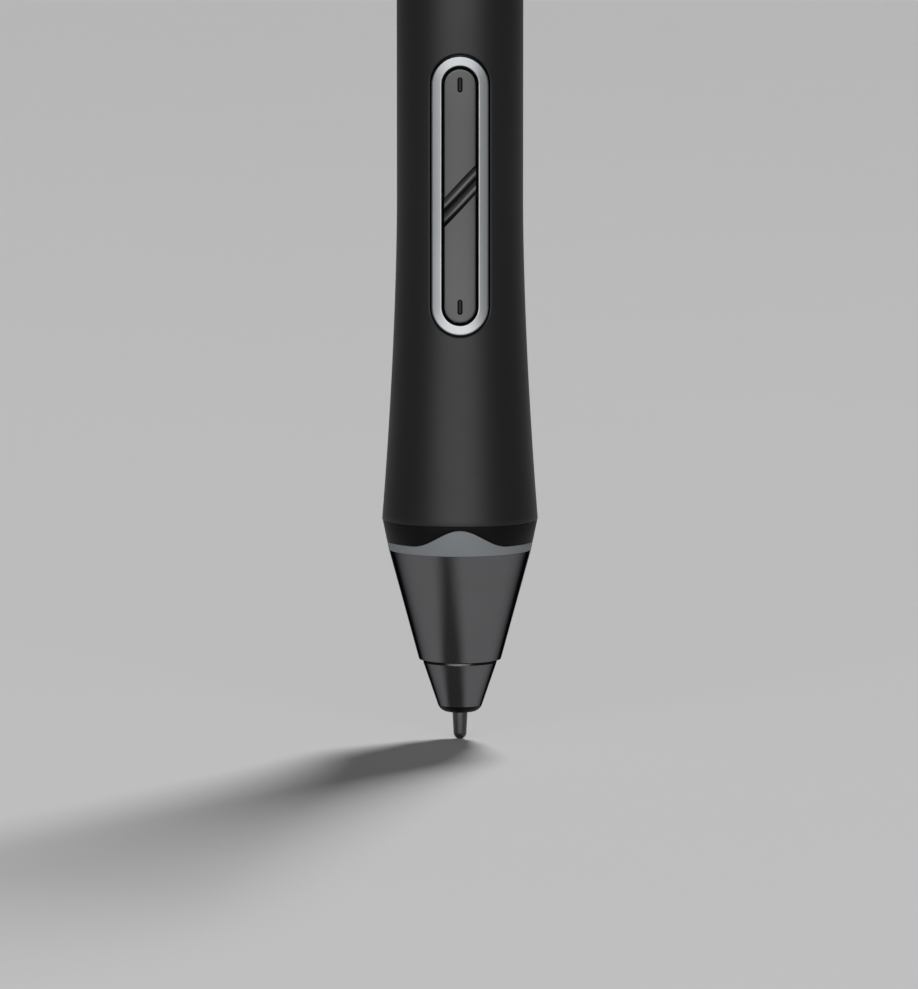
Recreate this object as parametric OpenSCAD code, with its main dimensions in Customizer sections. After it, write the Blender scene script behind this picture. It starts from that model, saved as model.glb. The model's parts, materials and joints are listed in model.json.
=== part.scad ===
// Digital pen for a drawing tablet, standing on its nib.
// Millimetres, +Z along the pen from the nib's point to the tail, rocker key facing -Y.
// The origin is the nib's point.

/* [Nib] */
// Length of nib that shows below the nose
nib_reach = 2.7; // [1.8:0.05:3.5]
// Diameter of the nib's shaft
nib_d = 1.45; // [1.3:0.05:1.8]
// Diameter of the nib's rounded point
nib_point_d = 1.25; // [0.7:0.05:1.3]
// Height at which the nib's taper reaches the full shaft
nib_taper_h = 2.6; // [1.5:0.1:3]
// How far the nib is pushed in at full pressure
nib_travel = 1; // [0.4:0.1:1.5]

/* [Nose] */
// Height of the nose piece that shows
nose_h = 5; // [4:0.05:6]
// Diameter of the nose at its rim, before it is rounded
nose_rim_d = 3.8; // [3.4:0.1:4.6]
// Diameter of the nose at its seam with the cone
nose_seam_d = 7.1; // [6.4:0.1:7.6]
// Radius that rounds the rim of the nose
nose_round = 0.95; // [0.3:0.05:1.1]
// Diameter of the peg that holds the nose in the cone
nose_peg_d = 4.8; // [4.2:0.1:5.2]
// Length of that peg
nose_peg_h = 3; // [2:0.1:4]

/* [Cone] */
// Height of the cone
cone_h = 10.75; // [9:0.05:14]
// Diameter of the cone at the accent ring
cone_d = 13.7; // [13.2:0.1:14.6]
// How far the cone stands out over the nose at the seam
seam_step = 0.37; // [0.1:0.01:0.5]
// Wall of the cone
cone_wall = 1.15; // [0.9:0.05:1.4]
// Length of the threaded neck that joins the cone to the grip
neck_h = 7.3; // [6:0.1:9]
// Wall of that neck
neck_wall = 0.9; // [0.7:0.05:1.2]

/* [Accent ring] */
// Height of the accent ring round the sides and back
ring_h = 0.82; // [0.6:0.02:1.4]
// Extra height of the wave's crest at the front
crest_h = 1.7; // [1:0.1:2.4]
// Width of the crest at its foot
crest_w = 9.2; // [7:0.2:11]
// Height of collar left above the crest
collar_lip = 0.38; // [0.3:0.02:1]

/* [Barrel] */
// Diameter of the grip at its lower end
grip_d = 15; // [14.6:0.1:16]
// Diameter of the straight barrel
barrel_d = 12.1; // [11.8:0.1:13]
// Length of the grip barrel from its lower end to the rear seam
grip_len = 50.8; // [48:0.2:60]
// Length over which the grip flares out
flare_len = 30.8; // [20:0.2:40]
// How late the flare swells: 1 is a straight cone
flare_power = 1.7; // [1.2:0.1:2.2]
// Wall of the barrel
barrel_wall = 1.5; // [1.4:0.05:1.6]
// Step in radius from the grip barrel down to the rear barrel
rear_step = 0.2; // [0.16:0.02:0.4]
// Length of the rear barrel
rear_len = 76; // [70:1:90]
// Length of the taper at the rear barrel's end
rear_taper = 32; // [20:1:38]
// Length of the lap where the rear barrel slips over the grip barrel
lap_h = 8; // [5:0.5:12]

/* [Tail] */
// Diameter of the pen where the tail cap starts
tail_d = 10; // [9.4:0.1:11]
// Height of the tail cap that shows
tail_h = 12; // [8:0.5:16]
// Diameter of the tail cap's end, before it is rounded
tail_end_d = 9.2; // [8:0.1:9.4]
// Radius that rounds the tail cap's end
tail_round = 2.2; // [1:0.1:3]
// Length of the plug that holds the tail cap
tail_plug_h = 6; // [4:0.5:8]

/* [Rocker key] */
// Height of the key's middle above the grip's lower end
button_up = 31.5; // [31:0.1:33.5]
// Width of the bezel round the key
bezel_w = 5.4; // [5.2:0.1:6]
// Length of the bezel
bezel_len = 26.5; // [25.5:0.1:28]
// Width of the bezel's rim that shows
rim_w = 0.95; // [0.8:0.05:1.2]
// How far the rim stands out of the barrel
rim_proud = 0.25; // [0.1:0.05:0.5]
// Depth of the rim's seat in the barrel
rim_seat = 0.8; // [0.5:0.05:1]
// Wall of the bezel's skirt inside the barrel
skirt_wall = 0.6; // [0.5:0.05:0.7]
// How far the key's crown stands out of the barrel
key_proud = 0.4; // [0.25:0.05:0.7]
// Depth of the key's underside below the barrel's surface
key_sink = 0.9; // [0.7:0.05:1.1]
// Tilt of the key to either side, in degrees
key_tilt = 1.5; // [0.8:0.1:2]
// Distance from each end of the key to the middle of its switch
switch_inset = 3.05; // [2.6:0.05:3.6]
// Width of one slanting groove in the middle of the key
groove_w = 1.04; // [0.8:0.02:1.2]
// Depth of a slanting groove
groove_depth = 0.32; // [0.2:0.02:0.45]
// Length of the small mark at each end of the key
mark_len = 1.45; // [1.2:0.05:2]
// Width of that mark
mark_w = 0.5; // [0.4:0.05:0.7]

/* [Inside] */
// Diameter of the ferrite core
ferrite_d = 3.8; // [3.5:0.1:4]
// Diameter of the coil wound on the core
coil_d = 5.86; // [5.6:0.02:6]
// Length of core left bare in front of the coil
core_bare = 1.4; // [0.8:0.1:2.5]
// Reach of the carrier's front tube below its flange
tube_reach = 7.9; // [7:0.1:9]
// Thickness of the carrier's flange
flange_h = 1.5; // [1:0.1:2]
// Wall of the carrier's trough
trough_wall = 1.3; // [1.1:0.05:1.5]
// Reach of the carrier into the rear barrel
carrier_rear = 26; // [20:1:32]
// Thickness of the circuit board
board_t = 0.8; // [0.6:0.1:1]
// Diameter of the nib holder
holder_d = 3.2; // [2.8:0.1:3.5]
// Diameter of the holder's spring flange
holder_flange_d = 4.2; // [4:0.05:4.3]
// Depth of the nib's socket in the holder
socket_h = 5; // [4:0.1:5.4]
// Length of the return spring in its chamber
spring_len = 4.4; // [4:0.1:6]
// Diameter of the return spring's wire
spring_wire = 0.3; // [0.2:0.02:0.36]
// Number of coils in the return spring
spring_coils = 5; // [4:1:5]
// Diameter of the pressure sensor
sensor_d = 5.2; // [4.8:0.1:5.3]

/* [Clearances] */
// Radial clearance where one fixed piece slips into another
slip_gap = 0.05; // [0.02:0.01:0.08]
// Clearance round a piece that slides or turns
run_gap = 0.05; // [0.03:0.01:0.09]
// Dark gap round the bezel's rim
rim_gap = 0.12; // [0.08:0.01:0.2]
// Gap between the key and the bezel
key_gap = 0.25; // [0.15:0.01:0.3]
// Bevel on the edges of the seams
seam_bevel = 0.12; // [0.05:0.01:0.2]

/* [Hidden] */
$fn = 64;

// Distance by which cutting solids run past the faces that they cut
over = 0.5;

// Heights of the seams, from the nib's point upwards
nose_z = nib_reach;
cone_z = nose_z + nose_h;
ring_z = cone_z + cone_h;
ring_top = ring_z + ring_h;
grip_z = ring_top + crest_h + collar_lip;
rear_z = grip_z + grip_len;
tail_z = rear_z + rear_len;
taper_z = tail_z - rear_taper;
button_z = grip_z + button_up;

// Radii of the shells
barrel_r = barrel_d / 2;
grip_r = grip_d / 2;
bore_r = barrel_r - barrel_wall;
lap_r = (barrel_r + bore_r) / 2;
rear_r = barrel_r - rear_step;
neck_step = 0.95;
neck_r = bore_r + neck_step;
neck_bore_r = neck_r - neck_wall;
cone_front_r = nose_seam_d / 2 + seam_step;
nose_bevel = 0.13;
nose_bevel_h = 0.38;
collar_inset = 0.05;
tail_plug_r = tail_d / 2 - barrel_wall;
flare_steps = 14;

// Widths of the key's opening, skirt and slot
opening_w = bezel_w - 2 * rim_w;
opening_len = bezel_len - 2 * rim_w;
key_w = opening_w - 2 * key_gap;
key_len = opening_len - 2 * key_gap;
skirt_w = opening_w + 2 * skirt_wall;
skirt_len = opening_len + 2 * skirt_wall;
clip_out = 0.25;
clip_h = 0.4;
clip_len = 6;
clip_y = sqrt(bore_r * bore_r - pow(skirt_w / 2 + clip_out, 2)) - slip_gap;

// Depths of the key's mechanism, measured from the pen's axis towards the front
key_floor = barrel_r - key_sink;
trunnion_d = 1.1;
trunnion_drop = 0.1;
trunnion_y = key_floor - trunnion_d / 2 - trunnion_drop;
trunnion_seat = 0.5;
switch_arm = key_len / 2 - switch_inset;
plunger_travel = switch_arm * sin(key_tilt);
plunger_d = 1.2;
plunger_rest = 0.26;
plunger_out = plunger_travel + plunger_rest;
plunger_in = 0.65;
switch_base = 0.2;
switch_spare = 0.1;
switch_h = switch_base + plunger_travel + switch_spare + plunger_in;
switch_w = 2.6;
switch_len = 3;
nub_d = 1.4;
nub_h = 1.2;
plunger_y = key_floor - nub_h - run_gap;
switch_y = plunger_y - plunger_out;
board_y = switch_y - switch_h;
ledge_y = board_y - board_t;
groove_overlap = 0.08;
groove_pitch = (1 - groove_overlap) * groove_w;
mark_depth = 0.2;
mark_line = 0.11;
mark_inset = 1.5;

// Heights of the pieces inside, from the carrier's flange
flange_z = grip_z + neck_h;
carrier_r = bore_r - 2 * slip_gap;
tube_z = flange_z - tube_reach;
core_seat = 2;
core_seat_z = tube_z + core_seat;
stop_h = 0.8;
holder_stop_z = core_seat_z + stop_h;
holder_z = holder_stop_z + run_gap;
holder_len = 5.6;
holder_flange_z = holder_z + holder_len;
holder_flange_h = 1;
flange_room = 0.4;
nib_top_z = holder_z + socket_h;
spring_z = holder_flange_z + holder_flange_h + run_gap;
sensor_z = spring_z + spring_len + run_gap;
stem_in = 1;
stem_d = 1.6;
skirt_room = 0.3;
tube_end_z = button_z - skirt_len / 2 - skirt_room;
sensor_len = tube_end_z - sensor_z;
carrier_end_z = rear_z + carrier_rear;
end_wall = 1.5;
core_gap = 0.2;
core_bore_r = nib_d / 2 + core_gap;
nose_gap = 0.12;
nose_bore_r = nib_d / 2 + nose_gap;
peg_gap = 0.3;
core_z = cone_z + nose_peg_h + peg_gap;
coil_z = core_z + core_bare;
channel_r = carrier_r - trough_wall;
rib_w = 1;
rib_h = 0.4;

// The circuit board and what is fixed to it
board_margin = 0.4;
board_w = 2 * (sqrt(carrier_r * carrier_r - board_y * board_y) - board_margin);
board_gap = 0.2;
board_z = tube_end_z + board_gap;
board_end_z = carrier_end_z - end_wall;
pin_w = 0.3;
pin_x = 0.55;
pin_len = 1.6;
lead_d = 0.3;
lead_gap = 0.02;
lead_y = board_y + lead_d / 2 + lead_gap;
lead_x = sqrt(pow(coil_d / 2 + lead_d / 2 + lead_gap, 2) - lead_y * lead_y);
lead_slot = 0.5;
lead_tail = 2;
lead_end_z = board_z + lead_tail;
screw_d = 1;
screw_head_d = 2;
screw_head_h = 0.6;
screw_len = 3;
screw_boss_d = 2.4;
screw_slot_w = 0.3;
screw_slot_len = 0.7 * screw_head_d;
screw_to_pivot = 4.2;
screw_to_end = 4;
screw_heights = [button_z - screw_to_pivot, carrier_end_z - screw_to_end];
chip_w = 3.2;
chip_h = 0.8;
chip_rise = 1;
capacitor_w = 1.6;
capacitor_len = 0.8;
capacitor_x = 1.3;
capacitor_rise = 5.5;
capacitor_pitch = 3;
capacitor_rows = 4;

// Outline of the grip barrel's skin as [radius, height], grown outwards by a distance
function flare(z) = pow(max(0, min(1, (grip_z + flare_len - z) / flare_len)), flare_power);
function skin_r(z) = barrel_r + (grip_r - barrel_r) * flare(z);
function flare_points(grow) = [
    for (i = [0 : flare_steps])
        let (z = grip_z + flare_len * i / flare_steps)
            [skin_r(z) + grow, z]
];

// Quarter-round from the side of a turned piece on to its end, as [radius, height].
// The end faces down where side is -1 and up where it is 1.
function rounded_edge(r, z, round, side, steps = 6) = [
    for (i = [0 : steps])
        let (a = 90 * i / steps)
            [r - round + round * cos(a), z - side * round + side * round * sin(a)]
];

// Arc from a flat end that faces down on to a side that leans outwards, as [radius, height].
// The corner that it rounds lies at radius r and height z.
function leaning_edge(r, z, round, lean, steps = 6) = [
    for (i = [0 : steps])
        let (a = (90 - lean) * i / steps - 90)
            [r - round * tan(45 - lean / 2) + round * cos(a), z + round + round * sin(a)]
];

function reversed(points) = [for (i = [len(points) - 1 : -1 : 0]) points[i]];

// Turned ring or tube between two radii
module tube(r_in, r_out, z, h) {
    translate([0, 0, z])
        difference() {
            cylinder(r = r_out, h = h);
            translate([0, 0, -over])
                cylinder(r = r_in, h = h + 2 * over);
        }
}

// Solid inside the grip barrel's skin, grown outwards by a distance
module skin(grow) {
    rotate_extrude()
        polygon([[0, grip_z], each flare_points(grow), [barrel_r + grow, rear_z], [0, rear_z]]);
}

// Flat outline with two round ends
module stadium(w, length) {
    square([w, length - w], center = true);
    for (side = [-1, 1])
        translate([0, side * (length - w) / 2])
            circle(d = w);
}

// Prism of that outline round the key's middle, from one depth to another in front of the axis
module button_prism(w, length, y_in, y_out) {
    translate([0, -y_in, button_z])
        rotate([90, 0, 0])
            linear_extrude(y_out - y_in)
                stadium(w, length);
}

// Rod that points to the front of the pen, from one depth to another
module front_rod(d, z, y_in, y_out) {
    translate([0, -y_in, z])
        rotate([90, 0, 0])
            cylinder(d = d, h = y_out - y_in);
}

// Box on the front of the circuit board, w across the pen and length along it
module board_box(x, z, w, length, y_in, h) {
    translate([x - w / 2, -y_in - h, z - length / 2])
        cube([w, h, length]);
}

// Everything below the wave where the accent ring meets the collar
module below_wave(lift) {
    steps = 24;
    crest = [
        for (i = [0 : steps])
            let (x = crest_w * (i / steps - 0.5))
                [x, ring_top + lift + crest_h * (1 + cos(360 * x / crest_w)) / 2]
    ];
    translate([0, 0, ring_z - over])
        cylinder(r = grip_r + over, h = ring_h + over + lift);
    rotate([90, 0, 0])
        linear_extrude(grip_r + over)
            polygon([[crest_w / 2, ring_z], [-crest_w / 2, ring_z], each crest]);
}

// Band of the nose's outline between the cone and the grip
module shoulder() {
    difference() {
        translate([0, 0, ring_z])
            cylinder(r1 = cone_d / 2, r2 = grip_r - collar_inset, h = grip_z - ring_z);
        translate([0, 0, ring_z - over])
            cylinder(r = neck_r + slip_gap, h = grip_z - ring_z + 2 * over);
    }
}

// Wear part with a rounded point, which passes through the core into its holder
module nib() {
    point_r = nib_point_d / 2;
    color("#4a4c4e")
        rotate_extrude()
            polygon([
                each reversed(rounded_edge(point_r, 0, point_r, -1)),
                [nib_d / 2, nib_taper_h], [nib_d / 2, nib_top_z], [0, nib_top_z]
            ]);
}

// Front end of the pen, pressed into the cone by its peg
module nose_tip() {
    rim_r = nose_rim_d / 2;
    seam_r = nose_seam_d / 2;
    lean = atan2(seam_r - rim_r, nose_h - nose_bevel_h);
    color("#1c1c1e")
        rotate_extrude()
            polygon([
                [nose_bore_r, nose_z],
                each leaning_edge(rim_r, nose_z, nose_round, lean),
                [seam_r, cone_z - nose_bevel_h], [seam_r - nose_bevel, cone_z],
                [nose_peg_d / 2, cone_z], [nose_peg_d / 2, cone_z + nose_peg_h],
                [nose_bore_r, cone_z + nose_peg_h]
            ]);
}

// Gloss cone with a neck that goes up inside the ring, the collar and the grip
module front_cone() {
    cone_r = cone_d / 2;
    slope = (cone_r - cone_front_r) / cone_h;
    peg_bore_r = nose_peg_d / 2 + slip_gap;
    cavity_z = cone_z + nose_peg_h;
    cavity_r = max(peg_bore_r, cone_front_r + slope * nose_peg_h - cone_wall);
    wall_z = min(ring_z, cone_z + (neck_bore_r + cone_wall - cone_front_r) / slope);
    color("#202022")
        rotate_extrude()
            polygon([
                [peg_bore_r, cone_z], [cone_front_r - seam_bevel, cone_z],
                [cone_front_r, cone_z + seam_bevel], [cone_r, ring_z], [neck_r, ring_z],
                [neck_r, flange_z], [neck_bore_r, flange_z], [neck_bore_r, wall_z],
                [cavity_r, cavity_z], [peg_bore_r, cavity_z]
            ]);
}

// Grey ring whose upper edge rises in one wave at the front
module accent_ring() {
    color("#75797c")
        intersection() {
            shoulder();
            below_wave(0);
        }
}

// Black ring that fills the wave up to the grip
module grip_collar() {
    color("#141416")
        difference() {
            shoulder();
            below_wave(slip_gap);
        }
}

// Soft-touch front half of the barrel, with the flared grip and the seat for the bezel
module grip_barrel() {
    outline = [
        [0, grip_z], [grip_r - seam_bevel, grip_z], [grip_r, grip_z + seam_bevel],
        for (p = flare_points(0)) if (p[1] > grip_z + seam_bevel) p,
        [barrel_r, rear_z - seam_bevel], [barrel_r - seam_bevel, rear_z],
        [lap_r - slip_gap, rear_z], [lap_r - slip_gap, rear_z + lap_h], [0, rear_z + lap_h]
    ];
    bore_z = flange_z + flange_h;
    color("#2c2c2e") {
        difference() {
            rotate_extrude()
                polygon(outline);
            translate([0, 0, grip_z - over])
                cylinder(r = neck_r + slip_gap, h = bore_z - grip_z + over);
            translate([0, 0, grip_z])
                cylinder(r = bore_r, h = grip_len + lap_h + over);
            button_prism(skirt_w + 2 * slip_gap, skirt_len + 2 * slip_gap, 0, grip_r + over);
            difference() {
                button_prism(bezel_w + 2 * rim_gap, bezel_len + 2 * rim_gap, 0, grip_r + over);
                skin(-rim_seat);
            }
        }
        carrier_rib(bore_z);
    }
}

// Rib in the back of the bore that keeps the carrier from turning
module carrier_rib(z) {
    intersection() {
        translate([-rib_w / 2, bore_r - rib_h, z])
            cube([rib_w, rib_h + barrel_wall / 2, rear_z - z]);
        cylinder(r = bore_r + barrel_wall / 2, h = rear_z + over);
    }
}

// Straight rear half of the barrel, tapered towards the tail
module rear_barrel() {
    color("#2a2a2c")
        rotate_extrude()
            polygon([
                [lap_r, rear_z], [rear_r - seam_bevel, rear_z], [rear_r, rear_z + seam_bevel],
                [rear_r, taper_z], [tail_d / 2, tail_z - seam_bevel],
                [tail_d / 2 - seam_bevel, tail_z], [tail_plug_r + slip_gap, tail_z],
                [tail_plug_r + slip_gap, tail_z - tail_plug_h], [bore_r, taper_z],
                [bore_r, rear_z + lap_h], [lap_r, rear_z + lap_h]
            ]);
}

// Rounded cap on the rear end, held by its plug
module tail_cap() {
    color("#232325")
        rotate_extrude()
            polygon([
                [0, tail_z - tail_plug_h], [tail_plug_r, tail_z - tail_plug_h],
                [tail_plug_r, tail_z], [tail_d / 2 - seam_bevel, tail_z],
                [tail_d / 2, tail_z + seam_bevel],
                each rounded_edge(tail_end_d / 2, tail_z + tail_h, tail_round, 1),
                [0, tail_z + tail_h]
            ]);
}

// Bright rim round the key, with a skirt through the barrel that carries the key's pivot
module button_bezel() {
    color("#b4b8ba")
        difference() {
            union() {
                intersection() {
                    button_prism(bezel_w, bezel_len, 0, grip_r + over);
                    difference() {
                        skin(rim_proud);
                        skin(-rim_seat);
                    }
                }
                intersection() {
                    button_prism(skirt_w, skirt_len, clip_y - clip_h, grip_r + over);
                    skin(0);
                }
                bezel_clips();
            }
            button_prism(opening_w, opening_len, 0, grip_r + over);
            translate([-bezel_w / 2, -trunnion_y, button_z])
                rotate([0, 90, 0])
                    cylinder(d = trunnion_d + 2 * run_gap, h = bezel_w);
        }
}

// Snap clips on the long sides of the skirt, which catch behind the barrel's wall
module bezel_clips() {
    root = skirt_w / 2 - skirt_wall / 2;
    for (side = [-1, 1], up = [-1, 1])
        translate([0, 0, button_z + up * switch_arm - clip_len / 2])
            linear_extrude(clip_len)
                polygon([
                    [side * root, -clip_y], [side * (skirt_w / 2 + clip_out), -clip_y],
                    [side * skirt_w / 2, -clip_y + clip_h], [side * root, -clip_y + clip_h]
                ]);
}

// Two-way key with slanting finger grooves, on two trunnions moulded in one with it
module rocker_key() {
    color("#5c5d5f") {
        difference() {
            intersection() {
                button_prism(key_w, key_len, key_floor, grip_r + over);
                skin(key_proud);
            }
            for (side = [-1, 1]) {
                slanting_groove(side * groove_pitch / 2);
                end_mark(side);
            }
        }
        translate([-key_w / 2, -key_floor - key_sink / 2, button_z - trunnion_d / 2])
            cube([key_w, key_floor + key_sink / 2 - trunnion_y, trunnion_d]);
        translate([-opening_w / 2 - trunnion_seat, -trunnion_y, button_z])
            rotate([0, 90, 0])
                cylinder(d = trunnion_d, h = opening_w + 2 * trunnion_seat);
        for (side = [-1, 1])
            front_rod(nub_d, button_z + side * switch_arm, key_floor - nub_h, key_floor + key_sink / 2);
    }
}

// Round-bottomed groove at 45 degrees across the key, bent to follow its crown
module slanting_groove(offset_z) {
    cut_r = (groove_w * groove_w / 4 + groove_depth * groove_depth) / (2 * groove_depth);
    crown_r = skin_r(button_z) + key_proud;
    bend_r = 2 * crown_r;
    translate([0, bend_r - crown_r, button_z])
        rotate([0, -45, 0])
            translate([0, 0, offset_z])
                rotate_extrude()
                    translate([bend_r - groove_depth + cut_r, 0])
                        circle(r = cut_r);
}

// Sunk line in the shape of a small oval near one end of the key
module end_mark(side) {
    z = button_z + side * (key_len / 2 - mark_inset);
    crown_r = skin_r(z) + key_proud;
    translate([0, -crown_r + mark_depth, z])
        rotate([90, 0, 0])
            linear_extrude(mark_depth + over)
                difference() {
                    stadium(mark_w, mark_len);
                    stadium(mark_w - 2 * mark_line, mark_len - 2 * mark_line);
                }
}

// Body of one push switch on the board, with the guide for its plunger
module switch_body(side) {
    z = button_z + side * switch_arm;
    color("#202020")
        difference() {
            board_box(0, z, switch_w, switch_len, board_y, switch_h);
            front_rod(plunger_d + 2 * run_gap, z, board_y + switch_base, switch_y + over);
        }
}

module upper_switch() {
    switch_body(1);
}

module lower_switch() {
    switch_body(-1);
}

// Plunger that one of the key's nubs pushes into its switch
module switch_plunger(side) {
    color("#d8d4c8")
        front_rod(plunger_d, button_z + side * switch_arm, switch_y - plunger_in, plunger_y);
}

module upper_plunger() {
    switch_plunger(1);
}

module lower_plunger() {
    switch_plunger(-1);
}

// Inner frame: front tube for the core and nib holder, flange, sensor pocket and board trough
module carrier() {
    slot_depth = 2 * neck_r - lead_y + lead_slot / 2;
    color("#3a3d42")
        difference() {
            union() {
                translate([0, 0, tube_z])
                    cylinder(d = coil_d, h = tube_reach);
                translate([0, 0, flange_z])
                    cylinder(r = neck_r, h = flange_h);
                translate([0, 0, flange_z])
                    cylinder(r = carrier_r, h = tube_end_z - flange_z);
                carrier_trough();
                screw_bosses();
            }
            carrier_bores();
            for (side = [-1, 1])
                translate([side * lead_x - lead_slot / 2, -2 * neck_r, flange_z - over])
                    cube([lead_slot, slot_depth, tube_end_z - flange_z + 2 * over]);
            translate([-rib_w / 2 - slip_gap, bore_r - rib_h - slip_gap, flange_z + flange_h])
                cube([rib_w + 2 * slip_gap, rib_h + over, carrier_end_z - flange_z]);
            for (z = screw_heights)
                front_rod(screw_d + slip_gap, z, ledge_y - screw_len, ledge_y + over);
        }
}

// Half-round trough whose two edges carry the circuit board
module carrier_trough() {
    length = carrier_end_z - tube_end_z;
    difference() {
        intersection() {
            translate([0, 0, tube_end_z])
                cylinder(r = carrier_r, h = length);
            translate([-carrier_r, -ledge_y, tube_end_z])
                cube([2 * carrier_r, carrier_r + ledge_y, length]);
        }
        translate([0, 0, tube_end_z - over])
            cylinder(r = channel_r, h = length - end_wall + over);
    }
}

// Posts in the trough that take the board's screws
module screw_bosses() {
    for (z = screw_heights)
        intersection() {
            front_rod(screw_boss_d, z, -carrier_r, ledge_y);
            translate([0, 0, z - screw_boss_d])
                cylinder(r = channel_r + trough_wall / 2, h = 2 * screw_boss_d);
        }
}

// Stepped bore for the core, the nib, its holder, the spring and the sensor
module carrier_bores() {
    guide_end_z = holder_flange_z - flange_room;
    translate([0, 0, tube_z - over])
        cylinder(r = ferrite_d / 2 + slip_gap, h = core_seat_z - tube_z + over);
    translate([0, 0, tube_z])
        cylinder(r = core_bore_r, h = holder_stop_z - tube_z + over);
    translate([0, 0, holder_stop_z])
        cylinder(r = holder_d / 2 + run_gap, h = holder_flange_z - holder_stop_z);
    translate([0, 0, guide_end_z])
        cylinder(r = holder_flange_d / 2 + 2 * run_gap, h = sensor_z - guide_end_z + over);
    translate([0, 0, sensor_z])
        cylinder(r = sensor_d / 2 + slip_gap, h = sensor_len + over);
}

// Hollow core that the nib passes through, seated in the carrier's front tube
module ferrite_core() {
    color("#4b4744")
        tube(core_bore_r, ferrite_d / 2, core_z, core_seat_z - core_z);
}

// Winding on the core, up to the face of the carrier's front tube
module coil_winding() {
    color("#b8713a")
        tube(ferrite_d / 2 + slip_gap / 2, coil_d / 2, coil_z, tube_z - coil_z);
}

// Two wires from the winding along the carrier to the circuit board
module coil_leads() {
    start_z = tube_z - lead_tail;
    color("#c07f48")
        for (side = [-1, 1])
            translate([side * lead_x, -lead_y, start_z])
                cylinder(d = lead_d, h = lead_end_z - start_z);
}

// Socket that grips the nib, with a flange for the spring and a stem into the sensor
module nib_holder() {
    nib_fit_r = nib_d / 2 + slip_gap / 2;
    flange_top_z = holder_flange_z + holder_flange_h;
    stem_top_z = sensor_z + stem_in;
    color("#d9d9d4")
        rotate_extrude()
            polygon([
                [nib_fit_r, holder_z], [holder_d / 2, holder_z], [holder_d / 2, holder_flange_z],
                [holder_flange_d / 2, holder_flange_z], [holder_flange_d / 2, flange_top_z],
                [stem_d / 2, flange_top_z], [stem_d / 2, stem_top_z], [0, stem_top_z],
                [0, nib_top_z], [nib_fit_r, nib_top_z]
            ]);
}

// Compression spring round the stem: one wire wound in a helix
module return_spring() {
    rings = 10;
    sides = 6;
    wire_r = spring_wire / 2;
    wind_r = (stem_d / 2 + holder_flange_d / 2) / 2;
    rise = spring_len - spring_wire;
    last = rings * spring_coils;
    points = [
        for (i = [0 : last], j = [0 : sides - 1])
            let (
                turn = 360 * i / rings,
                a = 360 * j / sides,
                r = wind_r + wire_r * cos(a)
            )
                [r * cos(turn), r * sin(turn), spring_z + wire_r + rise * i / last + wire_r * sin(a)]
    ];
    walls = [
        for (i = [0 : last - 1], j = [0 : sides - 1])
            let (k = (j + 1) % sides, low = i * sides, high = low + sides)
                each [[low + j, high + k, high + j], [low + j, low + k, high + k]]
    ];
    ends = [
        for (j = [1 : sides - 2])
            each [[0, j + 1, j], [last * sides, last * sides + j, last * sides + j + 1]]
    ];
    color("#b9bcc0")
        polyhedron(points, concat(walls, ends));
}

// Sealed capsule that reads the holder's stem, with two pins on to the board
module pressure_sensor() {
    color("#77706a") {
        difference() {
            translate([0, 0, sensor_z])
                cylinder(d = sensor_d, h = sensor_len);
            translate([0, 0, sensor_z - over])
                cylinder(r = stem_d / 2 + 2 * run_gap, h = stem_in + nib_travel + 2 * over);
        }
        for (side = [-1, 1])
            translate([side * pin_x - pin_w / 2, -board_y - pin_w, tube_end_z - over])
                cube([pin_w, pin_w, pin_len + over]);
    }
}

// Board that lies on the trough's edges
module circuit_board() {
    color("#1d4a32")
        difference() {
            translate([-board_w / 2, -board_y, board_z])
                cube([board_w, board_t, board_end_z - board_z]);
            for (z = screw_heights)
                front_rod(screw_d + 4 * slip_gap, z, ledge_y - over, board_y + over);
        }
}

// Chips and tuning capacitors on the rear part of the board
module board_chips() {
    color("#2b2b2b")
        board_box(0, rear_z + chip_rise, chip_w, chip_w, board_y, chip_h);
    color("#a58d6b")
        for (side = [-1, 1], i = [0 : capacitor_rows - 1])
            board_box(
                side * capacitor_x, rear_z + capacitor_rise + i * capacitor_pitch,
                capacitor_w, capacitor_len, board_y, chip_h
            );
}

// Screws that hold the board to the carrier
module board_screws() {
    color("#8d9196")
        for (z = screw_heights)
            difference() {
                union() {
                    front_rod(screw_head_d, z, board_y, board_y + screw_head_h);
                    front_rod(screw_d, z, ledge_y - screw_len + over, board_y + over);
                }
                for (turn = [0, 90])
                    translate([0, -board_y - screw_head_h, z])
                        rotate([0, turn, 0])
                            cube([screw_slot_w, screw_head_h, screw_slot_len], center = true);
            }
}

nib();
nose_tip();
front_cone();
accent_ring();
grip_collar();
grip_barrel();
rear_barrel();
tail_cap();
button_bezel();
rocker_key();
upper_switch();
lower_switch();
upper_plunger();
lower_plunger();
carrier();
ferrite_core();
coil_winding();
coil_leads();
nib_holder();
return_spring();
pressure_sensor();
circuit_board();
board_chips();
board_screws();
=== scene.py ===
"""Looks of a digital drawing pen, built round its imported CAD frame.

Objects are in metres in the CAD frame: +Z runs from the nib's point to the tail, and the rocker key
faces -Y. Sizes in the classes are in millimetres and become metres where a mesh is made.
"""

import json
import logging
import math
from collections.abc import Sequence
from dataclasses import dataclass
from enum import Enum
from functools import cache

import bmesh
import bpy
from mathutils import Matrix, Vector


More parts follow.
